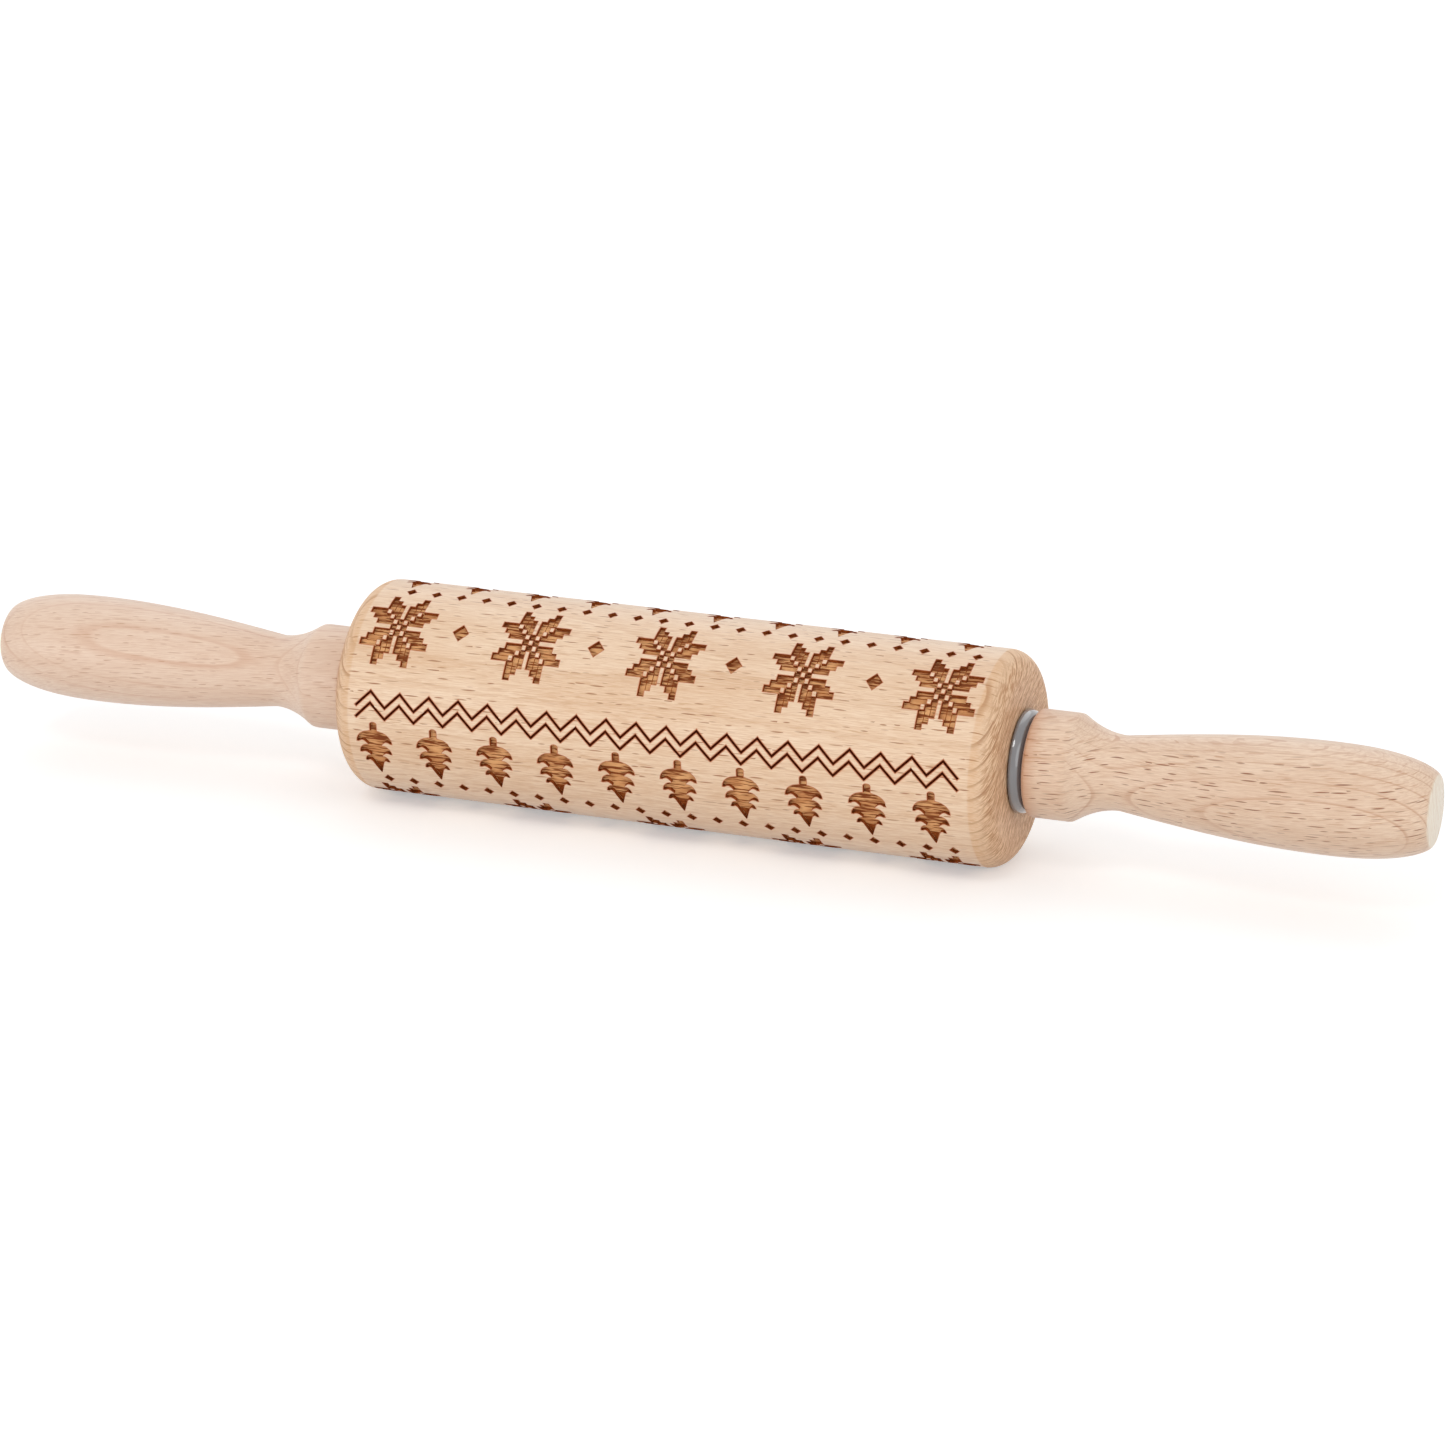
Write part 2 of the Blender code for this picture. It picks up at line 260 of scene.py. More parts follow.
def side_shift(before, here, after, distance):
    """Where a corner goes when both its edges move to their right by a distance."""
    first = (Vector(here) - Vector(before)).normalized()
    second = (Vector(after) - Vector(here)).normalized()
    first_side = Vector((first.y, -first.x))
    second_side = Vector((second.y, -second.x))
    mitre = (first_side + second_side) / max(1 + first_side.dot(second_side), MITRE_FLOOR)
    moved = Vector(here) + mitre * distance
    return (moved.x, moved.y)


def grown(outline, margin):
    """The same outline with its edges moved outwards."""
    count = len(outline)
    return [
        side_shift(outline[i - 1], outline[i], outline[(i + 1) % count], margin)
        for i in range(count)
    ]


def stroked(line, width):
    """Outline of a pen stroke along an open line."""
    first, second = Vector(line[0]), Vector(line[1])
    last, last_but_one = Vector(line[-1]), Vector(line[-2])
    before = tuple(2 * first - second)
    after = tuple(2 * last - last_but_one)
    corners = [before, *line, after]
    sides = []
    for half in (width / 2, -width / 2):
        sides.append([
            side_shift(corners[i - 1], corners[i], corners[i + 1], half)
            for i in range(1, len(corners) - 1)
        ])
    return sides[0] + sides[1][::-1]


def evenly(count, pitch, middle):
    return [middle + (i - (count - 1) / 2) * pitch for i in range(count)]


def star_strips():
    """Strips of cells cut away round a star's centre, as cell counts."""
    strips = []
    for column in (-1, 1):
        strips.append(rectangle(column - 0.5, column + 0.5, -0.5, 0.5))
        strips.append(rectangle(-0.5, 0.5, column - 0.5, column + 0.5))
    for side in (-1, 1):
        for rise in (-1, 1):
            for step in range(1, STAR_STEPS + 1):
                near, far = step - 0.5, step + 0.5
                end = far + STAR_ARM_CELLS
                for strip in (rectangle(near, far, far, end), rectangle(far, end, near, far)):
                    strips.append([(side * x, rise * y) for x, y in strip])
    return strips


def star(along, around):
    outlines = []
    for strip in star_strips():
        outline = [(along + x * STAR_CELL_ALONG, around + y * STAR_CELL_AROUND) for x, y in strip]
        if turn_area(outline) < 0:
            outline.reverse()
        outlines.append(grown(outline, KERF))
    return outlines


def fir(along, around):
    """A fir with its trunk end at the given place and its tip below it."""
    trunk = FIR_TRUNK_SHARE * FIR_HALF_WIDTH
    trunk_round = FIR_TRUNK_ROUND_SHARE * FIR_HEIGHT
    arm_end = FIR_ARM_END_SHARE * FIR_HALF_WIDTH
    half = []
    for step in range(FIR_TRUNK_STEPS + 1):
        angle = step / FIR_TRUNK_STEPS * math.pi / 2
        half.append((trunk * math.sin(angle), trunk_round * (1 - math.cos(angle))))
    stem = trunk
    for *height_shares, reach_share, stem_share in FIR_TIER_SHARES:
        top, end, arch, drop = (share * FIR_HEIGHT for share in height_shares)
        reach = reach_share * FIR_HALF_WIDTH
        for step in range(FIR_ARM_STEPS + 1):
            angle = step / FIR_ARM_STEPS * math.pi / 2
            out = stem + (reach - stem) * math.sin(angle)
            half.append((out, end - (end - top) * math.cos(angle)))
        stem = stem_share * FIR_HALF_WIDTH
        inner = reach - arm_end
        for step in range(FIR_UNDERSIDE_STEPS + 1):
            share = step / FIR_UNDERSIDE_STEPS
            below = end + drop * share - arch * math.sin(share * math.pi)
            half.append((inner + (stem - inner) * share, below))
    tip = FIR_TIP_SHARE * FIR_HALF_WIDTH
    half.append((tip, FIR_HEIGHT))
    left = [(along - out, around - down) for out, down in half[1:]]
    right = [(along + out, around - down) for out, down in half]
    return left + right[::-1]


def fir_tip_painted_shade(along, around):
    """The lowest part of a fir, painted as dark as a wall as painted shade in its narrow tip."""
    half = FIR_TIP_SHADE_HALF_SHARE * FIR_HALF_WIDTH
    start = around - FIR_TIP_SHADE_SHARE * FIR_HEIGHT
    return [(along - half, start), (along, around - FIR_HEIGHT), (along + half, start)]


def zigzag(around):
    half_length = ZIGZAG_PEAKS * ZIGZAG_PITCH / 2
    line = []
    for step in range(2 * ZIGZAG_PEAKS + 1):
        rise = (step % 2 - 0.5) * ZIGZAG_RISE
        line.append((ZIGZAG_MIDDLE - half_length + step * ZIGZAG_PITCH / 2, around + rise))
    return stroked(line, ZIGZAG_STROKE)


def deep_figures(turned_degrees):
    """Outlines of one repeat that are cut to the full depth, turned round by an angle."""
    stars = around_at(STAR_ROW_DEGREES + turned_degrees)
    large = around_at(LARGE_DIAMOND_ROW_DEGREES + turned_degrees)
    small = around_at(SMALL_DIAMOND_ROW_DEGREES + turned_degrees)
    firs = around_at(FIR_TOP_DEGREES + turned_degrees)
    figures = []
    for along in evenly(STAR_COUNT, STAR_PITCH, 0):
        figures += star(along, stars)
    for along in evenly(LARGE_DIAMOND_COUNT, LARGE_DIAMOND_PITCH, LARGE_DIAMOND_MIDDLE):
        figures.append(diamond(along, large, LARGE_DIAMOND_HALF_ALONG, LARGE_DIAMOND_HALF_AROUND))
    for along in evenly(SMALL_DIAMOND_COUNT, SMALL_DIAMOND_PITCH, SMALL_DIAMOND_MIDDLE):
        figures.append(diamond(along, small, SMALL_DIAMOND_HALF_ALONG, SMALL_DIAMOND_HALF_AROUND))
    for along in evenly(FIR_COUNT, FIR_PITCH, FIR_MIDDLE):
        figures.append(fir(along, firs))
        # Painted shade: each fir's narrow tip comes out as dark as a wall
        figures.append(fir_tip_painted_shade(along, firs))
    return figures


def line_figures(turned_degrees):
    return [zigzag(around_at(degrees + turned_degrees)) for degrees in ZIGZAG_ROW_DEGREES]


# Engraved roller

def sheet_stations():
    """Cross lines of the sheet: even on the level part, closer on the rounding."""
    level = ROLLER_HALF - ROLLER_END_ROUND
    inner = [-level + 2 * level * i / SHEET_STATIONS for i in range(SHEET_STATIONS + 1)]
    edge = [level + (SHEET_HALF - level) * (i + 1) / EDGE_STATIONS for i in range(EDGE_STATIONS)]
    return [-along for along in edge[::-1]] + inner + edge


def facet_lines():
    """Facet lines from the seam on, as distances round the roller."""
    return [around_at(SEAM_DEGREES + 360 * i / ROLLER_FACETS) for i in range(ROLLER_FACETS + 1)]


def cut_sheet():
    """The unrolled surface as triangles, with each one's depth and number of figures."""
    outlines = []
    for degrees in REPEAT_DEGREES:
        outlines += [(CUT_DEPTH, figure) for figure in deep_figures(degrees)]
        outlines += [(LINE_DEPTH, figure) for figure in line_figures(degrees)]
    outlines += [(0, grown(figure, SCORCH_MARGINS[depth])) for depth, figure in outlines]
    points = []
    edges = []
    faces = []
    for depth, outline in outlines:
        faces.append(list(range(len(points), len(points) + len(outline))))
        points += outline
    stations = sheet_stations()
    lines = facet_lines()
    for around in lines:
        edges.append((len(points), len(points) + 1))
        points += [(stations[0], around), (stations[-1], around)]
    for along in stations:
        edges.append((len(points), len(points) + 1))
        points += [(along, lines[0]), (along, lines[-1])]
    flat = [Vector(point) / SHEET_UNIT for point in points]
    made = delaunay_2d_cdt(flat, edges, faces, SHEET_TRIANGLES, SHEET_EPSILON)
    vertices, triangles, figures_of_triangles = made[0], made[2], made[5]
    corners = [vertex * SHEET_UNIT for vertex in vertices]
    depths = []
    layers = []
    for figures in figures_of_triangles:
        depths.append(max((outlines[i][0] for i in figures), default=0))
        layers.append(sum(outlines[i][0] > 0 for i in figures))
    return corners, triangles, depths, layers


def rims_of(triangles, depths):
    """Sheet corners that stand on the rim of a cut."""
    seen = {}
    for triangle, depth in zip(triangles, depths):
        for corner in triangle:
            seen.setdefault(corner, set()).add(depth)
    return {corner for corner, levels in seen.items() if len(levels) > 1}


def wall_edges(triangles, depths):
    """Edges between a higher and a lower triangle, as (corner, corner, upper depth, lower depth)."""
    sides = {}
    for triangle, depth in zip(triangles, depths):
        for i in range(3):
            sides[(triangle[i - 1], triangle[i])] = depth
    walls = []
    for (a, b), depth in sides.items():
        beyond = sides.get((b, a), depth)
        if beyond > depth:
            walls.append((a, b, depth, beyond))
    return walls


# Finishes of the roller's faces, in the order of its materials
WOOD, FLOOR, WALL, LINE, END = range(5)


def finish_of(depth, layers):
    """Finish of a triangle: what two figures cover comes out as dark as a wall, which is a second
    burn where a star's cells overlap, and painted shade in a fir's tip.
    """
    if depth == 0:
        return WOOD
    if depth == LINE_DEPTH:
        return LINE
    return FLOOR if layers == 1 else WALL


def engraved_surface(mesh_points, mesh_faces, finishes, scorches):
    corners, triangles, depths, layers = cut_sheet()
    rims = rims_of(triangles, depths)
    numbers = {}

    def point_at(corner, depth):
        key = (corner, depth)
        if key not in numbers:
            along, around = corners[corner]
            numbers[key] = len(mesh_points)
            radius = barrel_radius(along) - depth
            mesh_points.append(about_axis(along, radius, around / ROLLER_RADIUS))
            scorches.append(1.0 if corner in rims else 0.0)
        return numbers[key]

    for triangle, depth, layer in zip(triangles, depths, layers):
        mesh_faces.append([point_at(corner, depth) for corner in triangle])
        finishes.append(finish_of(depth, layer))
    for a, b, upper, lower in wall_edges(triangles, depths):
        mesh_faces.append([
            point_at(a, upper), point_at(a, lower), point_at(b, lower), point_at(b, upper)
        ])
        finishes.append(WALL if lower == CUT_DEPTH else LINE)


def roller_end_outline():
    """From the sheet's edge round the end, into the bush's seat and down to the bore."""
    centre = (ROLLER_HALF - ROLLER_END_ROUND, ROLLER_RADIUS - ROLLER_END_ROUND)
    start = math.degrees(math.acos((SHEET_HALF - centre[0]) / ROLLER_END_ROUND))
    seat_radius = BUSH_SLEEVE_RADIUS + SEAT_GAP
    seat_floor = ROLLER_HALF - BUSH_SLEEVE_LENGTH
    outline = arc(centre, ROLLER_END_ROUND, start, 0, ROUND_STEPS)
    outline += [
        (ROLLER_HALF, (centre[1] + seat_radius) / 2),
        (ROLLER_HALF, seat_radius),
        (seat_floor, seat_radius),
        (seat_floor, ROLLER_BORE_RADIUS),
        (0, ROLLER_BORE_RADIUS),
    ]
    return outline


def end_surface(side, mesh_points, mesh_faces, finishes, scorches):
    outline = roller_end_outline()
    count = ROLLER_FACETS
    start = math.radians(SEAM_DEGREES)
    first = len(mesh_points)
    for along, radius in outline:
        for i in range(count):
            mesh_points.append(about_axis(side * along, radius, start + math.tau * i / count))
            scorches.append(0.0)
    for ring in range(len(outline) - 1):
        for i in range(count):
            here = first + ring * count
            inner = here + count
            following = (i + 1) % count
            face = [here + i, inner + i, inner + following, here + following]
            mesh_faces.append(face if side > 0 else face[::-1])
            finishes.append(END)


def finish_mesh(name, shape, materials):
    """Weld a mesh, turn its faces outwards and make it an object."""
    bmesh.ops.remove_doubles(shape, verts=shape.verts, dist=MERGE_DISTANCE)
    bmesh.ops.recalc_face_normals(shape, faces=shape.faces)
    if shape.calc_volume(signed=True) < 0:
        bmesh.ops.reverse_faces(shape, faces=shape.faces)
    mesh = bpy.data.meshes.new(name)
    shape.to_mesh(mesh)
    shape.free()
    mesh.shade_smooth()
    mesh.set_sharp_from_angle(angle=math.radians(SHARP_DEGREES))
    for material in materials:
        mesh.materials.append(material)
    made = bpy.data.objects.new(name, mesh)
    bpy.context.scene.collection.objects.link(made)
    return made


def engraved_roller(materials):
    mesh_points = []
    mesh_faces = []
    finishes = []
    scorches = []
    engraved_surface(mesh_points, mesh_faces, finishes, scorches)
    for side in (-1, 1):
        end_surface(side, mesh_points, mesh_faces, finishes, scorches)
    raw = bpy.data.meshes.new("raw")
    raw.from_pydata(mesh_points, [], mesh_faces)
    raw.polygons.foreach_set("material_index", finishes)
    scorch = raw.attributes.new("scorch", "FLOAT", "POINT")
    scorch.data.foreach_set("value", scorches)
    shape = bmesh.new()
    shape.from_mesh(raw)
    bpy.data.meshes.remove(raw)
    return finish_mesh("engraved_roller", shape, materials)


# Turned pieces

def turned(name, outline, materials):
    """Turn an outline about the long axis; an open one starts and ends on the axis."""
    shape = bmesh.new()
    points = [shape.verts.new(about_axis(along, radius, 0)) for along, radius in outline]
    edges = [shape.edges.new(pair) for pair in zip(points, points[1:])]
    if outline[0][1] > 0:
        edges.append(shape.edges.new((points[-1], points[0])))
    bmesh.ops.spin(
        shape,
        geom=points + edges,
        cent=(0, 0, AXIS_HEIGHT),
        axis=(1, 0, 0),
        angle=math.tau,
        steps=TURNED_FACETS,
        use_merge=True,
    )
    return finish_mesh(name, shape, materials)


def bush_outline():
    """Sleeve in the roller's seat, and a flange that is flat inwards and domed outwards."""
    flange_inner = BUSH_HIGH.x - BUSH_FLANGE_WIDTH
    edge_round = BUSH_FLANGE_EDGE_ROUND
    edge_centre = (flange_inner + edge_round, BUSH_FLANGE_RADIUS - edge_round)
    dome_width = BUSH_FLANGE_WIDTH - edge_round
    bore_radius = AXLE_RADIUS + RUNNING_GAP
    outline = [
        (BUSH_LOW.x, bore_radius),
        (BUSH_LOW.x, BUSH_SLEEVE_RADIUS),
        (flange_inner, BUSH_SLEEVE_RADIUS),
    ]
    outline += arc(edge_centre, edge_round, 180, 90, EDGE_STEPS)
    for step in range(1, ROUND_STEPS + 1):
        angle = step / ROUND_STEPS * math.pi / 2
        drop = BUSH_FLANGE_DOME * (1 - math.cos(angle))
        outline.append((edge_centre[0] + dome_width * math.sin(angle), BUSH_FLANGE_RADIUS - drop))
    outline.append((BUSH_HIGH.x, bore_radius))
    return outline


def soft_lower(a, b, softness):
    """The lower of two values, with the corner between them rounded off."""
    gap = max(softness - abs(a - b), 0) / softness
    return min(a, b) - gap * gap * softness / 4


def grip_radius(along):
    """Radius of the handle: a collar, a cove, a long swell and a rounded tip."""
    if along < NECK_DISTANCE:
        share = (along - COLLAR_LENGTH) / (NECK_DISTANCE - COLLAR_LENGTH)
        cove = NECK_RADIUS + (COLLAR_RADIUS - NECK_RADIUS) * (1 - share) ** 2
        return soft_lower(COLLAR_RADIUS, cove, COLLAR_RIDGE_ROUND)
    if along < BELLY_DISTANCE:
        share = (along - NECK_DISTANCE) / (BELLY_DISTANCE - NECK_DISTANCE)
        return NECK_RADIUS + (BELLY_RADIUS - NECK_RADIUS) * math.sin(share * math.pi / 2)
    share = min((along - BELLY_DISTANCE) / (HANDLE_LENGTH - BELLY_DISTANCE), 1)
    fullness = (1 - share**TIP_CURVE_POWER) ** (1 / TIP_EDGE_POWER)
    return TIP_FLAT_RADIUS + (BELLY_RADIUS - TIP_FLAT_RADIUS) * fullness


def handle_outline():
    bore_radius = AXLE_RADIUS + SEAT_GAP
    bore_depth = AXLE_SEAT_DEPTH + SEAT_GAP
    drill_point = bore_radius / math.tan(math.radians(DRILL_POINT_DEGREES / 2))
    edge_centre = (COLLAR_EDGE_ROUND, COLLAR_RADIUS - COLLAR_EDGE_ROUND)
    outline = [(bore_depth + drill_point, 0), (bore_depth, bore_radius), (0, bore_radius)]
    outline += arc(edge_centre, COLLAR_EDGE_ROUND, 180, 90, ROUND_STEPS)
    for step in range(1, GRIP_STEPS):
        along = COLLAR_EDGE_ROUND + (BELLY_DISTANCE - COLLAR_EDGE_ROUND) * step / GRIP_STEPS
        outline.append((along, grip_radius(along)))
    for step in range(TIP_STEPS + 1):
        reach = math.sin(step / TIP_STEPS * math.pi / 2)
        along = BELLY_DISTANCE + (HANDLE_LENGTH - BELLY_DISTANCE) * reach
        outline.append((along, grip_radius(along)))
    outline.append((HANDLE_LENGTH, 0))
    return [(HANDLE_START_X + along, radius) for along, radius in outline]


# Materials

def new_material(name):
    material = bpy.data.materials.new(name)
    material.use_nodes = True
    return material, material.node_tree, material.node_tree.nodes["Principled BSDF"]


def add(tree, kind, inputs=None, **settings):
    """Add a shader node, set its options, and link or fill its inputs."""
    made = tree.nodes.new(kind)
    for key, value in settings.items():
        setattr(made, key, value)
    for key, value in (inputs or {}).items():
        if isinstance(value, bpy.types.NodeSocket):
            tree.links.new(value, made.inputs[key])
        else:
            made.inputs[key].default_value = value
    return made


def calc(tree, operation, *values, clamp=False):
    inputs = dict(enumerate(values))
    return add(tree, "ShaderNodeMath", inputs, operation=operation, use_clamp=clamp).outputs[0]


def ramp(tree, value, low, high, to_low=0.0, to_high=1.0):
    inputs = {"Value": value, "From Min": low, "From Max": high, "To Min": to_low, "To Max": to_high}
    return add(tree, "ShaderNodeMapRange", inputs, interpolation_type="SMOOTHSTEP").outputs[0]


def mix(tree, share, a, b, blend="MIX"):
    made = add(tree, "ShaderNodeMix", data_type="RGBA", blend_type=blend)
    for socket, value in zip((made.inputs[0], made.inputs[6], made.inputs[7]), (share, a, b)):
        if isinstance(value, bpy.types.NodeSocket):
            tree.links.new(value, socket)
        else:
            socket.default_value = value
    return made.outputs[2]


def noise(tree, vector, scale, detail=2.0, roughness=0.5):
    inputs = {"Vector": vector, "Scale": scale, "Detail": detail, "Roughness": roughness}
    return add(tree, "ShaderNodeTexNoise", inputs).outputs


def colour(red, green, blue):
    """A colour given as it looks on a screen, from 0 to 255, as a shader takes it."""
    def linear(level):
        share = level / 255
        return share / 12.92 if share <= 0.04045 else ((share + 0.055) / 1.055) ** 2.4

    return (linear(red), linear(green), linear(blue), 1.0)


# Grain that both handles share
HANDLE_GRAIN = {
    "ring_spacing": 0.0030,
    "ring_line_from": 0.84,
    "ring_strength": 0.3,
    "ring_line": 0.4,
    "end_from": (0.7, 0.95),
    "end_ring_line": 0.4,
    "edge_tint": 0.0,
}

# The log that a piece was cut from: where its middle lies from the pin's axis, how far it leans
# over a metre, and how its wood looks; end_from gives the slants where end grain starts and rules
ROLLER_WOOD = {
    "pith": (0.041, -0.057),
    "lean": (0.012, 0.016),
    "pale": colour(245, 217, 188),
    "warm": colour(226, 187, 150),
    "stroke": colour(213, 169, 129),
    "fleck": colour(168, 110, 68),
    "fleck_cell": (0.0050, 0.0016, 0.010),
    "fleck_rarity": 0.2,
    "ring": colour(158, 100, 58),
    "ring_spacing": 0.0024,
    "ring_start": 0.0,
    "ring_line_from": 0.70,
    "ring_strength": 0.35,
    "ring_line": 0.06,
    "end_from": (0.15, 0.85),
    "end_pale": colour(238, 202, 166),
    "end_warm": colour(196, 148, 110),
    "end_ring_line": 0.6,
    "edge_tint": 0.3,
    "collar_painted_shade": 0.0,
}
LEFT_WOOD = {
    **HANDLE_GRAIN,
    "pith": (0.0675, -0.024),
    "lean": (0.113, 0.048),
    "pale": colour(240, 214, 192),
    "warm": colour(226, 192, 167),
    "stroke": colour(212, 172, 144),
    "fleck": colour(198, 152, 124),
    "fleck_cell": (0.0048, 0.0011, 0.010),
    "fleck_rarity": 0.25,
    "ring": colour(206, 152, 118),
    "ring_start": 0.4,
    "end_pale": colour(250, 236, 218),
    "end_warm": colour(238, 216, 194),
    "collar_painted_shade": 0.0,
}
RIGHT_WOOD = {
    **HANDLE_GRAIN,
    "pith": (0.0585, 0.0125),
    "lean": (0.010, 0.060),
    "pale": colour(240, 213, 188),
    "warm": colour(221, 186, 157),
    "stroke": colour(202, 154, 120),
    "fleck": colour(144, 86, 50),
    "fleck_cell": (0.0056, 0.0012, 0.010),
    "fleck_rarity": 0.0,
    "ring": colour(190, 134, 98),
    "ring_start": 0.0,
    "end_pale": colour(250, 238, 218),
    "end_warm": colour(240, 220, 194),
    # Painted shade, warm from light bounced off the wood, on the collar next to the bush
    "collar_painted_shade": 0.45,
}

# Tint of the roller's rounding, and painted shade, warmed by light bounced off the wood, on the
# collar's end next to the bush
EDGE_TINT = colour(222, 172, 124)
COLLAR_PAINTED_SHADE = colour(208, 136, 86)
COLLAR_PAINTED_SHADE_LENGTH = 0.0050

# Slants of the surface over which the rounding's looks come in, its tint goes out again, and the
# streaks of the end grain grow to their full strength
ROUNDING_SLANTS = (0.02, 0.2)
EDGE_TINT_FADE = (0.2, 0.6)
END_STREAK_SLANTS = (0.3, 0.9)

# Slow waves of the whole grain
WAVE_LENGTH = 0.060
WAVE_HEIGHT = 0.0012

# Patches of each pattern: their lengths along, round and across the grain
FIBRE_CELL = (0.0050, 0.00016, 0.0008)
STROKE_CELL = (0.0055, 0.00020, 0.0030)
STROKE_GROUP_CELL = (0.030, 0.004, 0.004)
CLOUD_CELL = (0.060, 0.0075, 0.0075)
RING_DRIFT_CELL = (0.08, 0.03, 0.006)
RING_CLEARNESS_CELL = (0.040, 0.012, 0.008)
END_STREAK_CELL = (0.0020, 0.0022, 0.00028)
BURNT_STREAK_CELL = (0.006, 0.00048, 0.00048)
BURNT_PATCH_CELL = (0.006, 0.0025, 0.0025)
SOOT_CELL = (0.0008, 0.0006, 0.0004)

# Levels of the noise between which each pattern fades in
FIBRE_LEVELS = (0.35, 0.65)
STROKE_LEVELS = (0.60, 0.65)
STROKE_GROUP_LEVELS = (0.3, 0.7)
CLOUD_LEVELS = (0.3, 0.75)
RING_CLEARNESS_LEVELS = (0.38, 0.62)
END_STREAK_LEVELS = (0.40, 0.60)
BURNT_STREAK_LEVELS = (0.46, 0.58)
BURNT_PATCH_LEVELS = (0.35, 0.65)
SOOT_LEVELS = (0.3, 0.7)

# Strength of the patterns, or their least and greatest strength, and the fibres' share of height
FIBRE_STRENGTH = 0.7
FIBRE_HEIGHT = 0.5
STROKE_STRENGTHS = (0.25, 0.75)
CLOUD_STRENGTH = 0.45
END_STREAK_STRENGTHS = (0.35, 1.0)

# Flecks: half lengths as shares of a cell, half width, and how squarely a surface has to cut them
FLECK_REACHES = (0.20, 0.46)
FLECK_HALF_WIDTH = 0.00010
FLECK_SOFTNESS = 0.00003
FLECK_FACINGS = (0.2, 0.7)

# Growth rings: how late they darken, and the parts of a ring at which its line is full and goes
RING_BODY_POWER = 5.0
RING_LINE_FULL = 0.94
RING_LINE_GOES = 0.96
RING_FAINTEST = 0.25


def grain_place(tree, wood):
    """A point's place in its log, as (along, round the pith, out from it), and the way out."""
    spot = add(tree, "ShaderNodeTexCoord").outputs["Object"]
    wave = noise(tree, spot, 1 / WAVE_LENGTH, detail=1.0)["Color"]
    centred = add(tree, "ShaderNodeVectorMath", {0: wave, 1: (0.5, 0.5, 0.5)}, operation="SUBTRACT")
    size = {0: centred.outputs[0], "Scale": WAVE_HEIGHT}
    push = add(tree, "ShaderNodeVectorMath", size, operation="SCALE").outputs[0]
    moved = add(tree, "ShaderNodeVectorMath", {0: spot, 1: push}, operation="ADD").outputs[0]
    parts = add(tree, "ShaderNodeSeparateXYZ", {0: moved}).outputs
    along = parts["X"]
    offsets = []
    for value, pith, lean in zip((parts["Y"], parts["Z"]), wood["pith"], wood["lean"]):
        drift = calc(tree, "MULTIPLY", along, lean)
        offsets.append(calc(tree, "SUBTRACT", calc(tree, "SUBTRACT", value, pith), drift))
    across, height = offsets
    height = calc(tree, "SUBTRACT", height, AXIS_HEIGHT)
    out = add(tree, "ShaderNodeCombineXYZ", {1: across, 2: height}).outputs[0]
    distance = add(tree, "ShaderNodeVectorMath", {0: out}, operation="LENGTH").outputs["Value"]
    angle = calc(tree, "ARCTAN2", height, across)
    around = calc(tree, "MULTIPLY", angle, Vector(wood["pith"]).length)
    return (along, around, distance), out


def in_cells(tree, place, lengths):
    """The place counted in cells of the given lengths."""
    counted = [calc(tree, "DIVIDE", value, length) for value, length in zip(place, lengths)]
    return add(tree, "ShaderNodeCombineXYZ", dict(enumerate(counted))).outputs[0]


def grain_noise(tree, place, lengths, detail=2.0, roughness=0.5):
    """Noise whose patches have the given lengths along, round and across the grain."""
    return noise(tree, in_cells(tree, place, lengths), 1.0, detail, roughness)["Fac"]


def slant(tree):
    """None on the sides, one on the faces that cut straight across the grain."""
    normal = add(tree, "ShaderNodeTexCoord").outputs["Normal"]
    across = add(tree, "ShaderNodeSeparateXYZ", {0: normal}).outputs["X"]
    return calc(tree, "ABSOLUTE", across)


def ray_ends(tree, out):
    """One where the surface cuts the wood's rays end on, none where it lies along them."""
    normal = add(tree, "ShaderNodeTexCoord").outputs["Normal"]
    way = add(tree, "ShaderNodeVectorMath", {0: out}, operation="NORMALIZE").outputs[0]
    both = {0: normal, 1: way}
    facing = add(tree, "ShaderNodeVectorMath", both, operation="DOT_PRODUCT").outputs["Value"]
    return ramp(tree, calc(tree, "ABSOLUTE", facing), *FLECK_FACINGS)


def fleck_mask(tree, place, wood):
    """Short pointed dashes along the grain, which are rays seen end on."""
    cell = in_cells(tree, place, wood["fleck_cell"])
    inputs = {"Vector": cell, "Scale": 1.0, "Randomness": 1.0}
    grid = add(tree, "ShaderNodeTexVoronoi", inputs, voronoi_dimensions="3D", feature="F1").outputs
    from_seed = {0: cell, 1: grid["Position"]}
    offset = add(tree, "ShaderNodeVectorMath", from_seed, operation="SUBTRACT").outputs[0]
    parts = add(tree, "ShaderNodeSeparateXYZ", {0: offset}).outputs
    chance = add(tree, "ShaderNodeSeparateColor", {0: grid["Color"]}).outputs
    reach = ramp(tree, chance[0], 0.0, 1.0, *FLECK_REACHES)
    width = FLECK_HALF_WIDTH / wood["fleck_cell"][1]
    softness = FLECK_SOFTNESS / wood["fleck_cell"][1]
    run = calc(tree, "DIVIDE", parts["X"], reach)
    taper = calc(tree, "SUBTRACT", 1.0, calc(tree, "MULTIPLY", run, run))
    half = calc(tree, "MULTIPLY", taper, width)
    inside = calc(tree, "SUBTRACT", half, calc(tree, "ABSOLUTE", parts["Y"]))
    dash = ramp(tree, inside, -softness, softness)
    strength = ramp(tree, chance[1], wood["fleck_rarity"], 1.0)
    return calc(tree, "MULTIPLY", dash, strength)


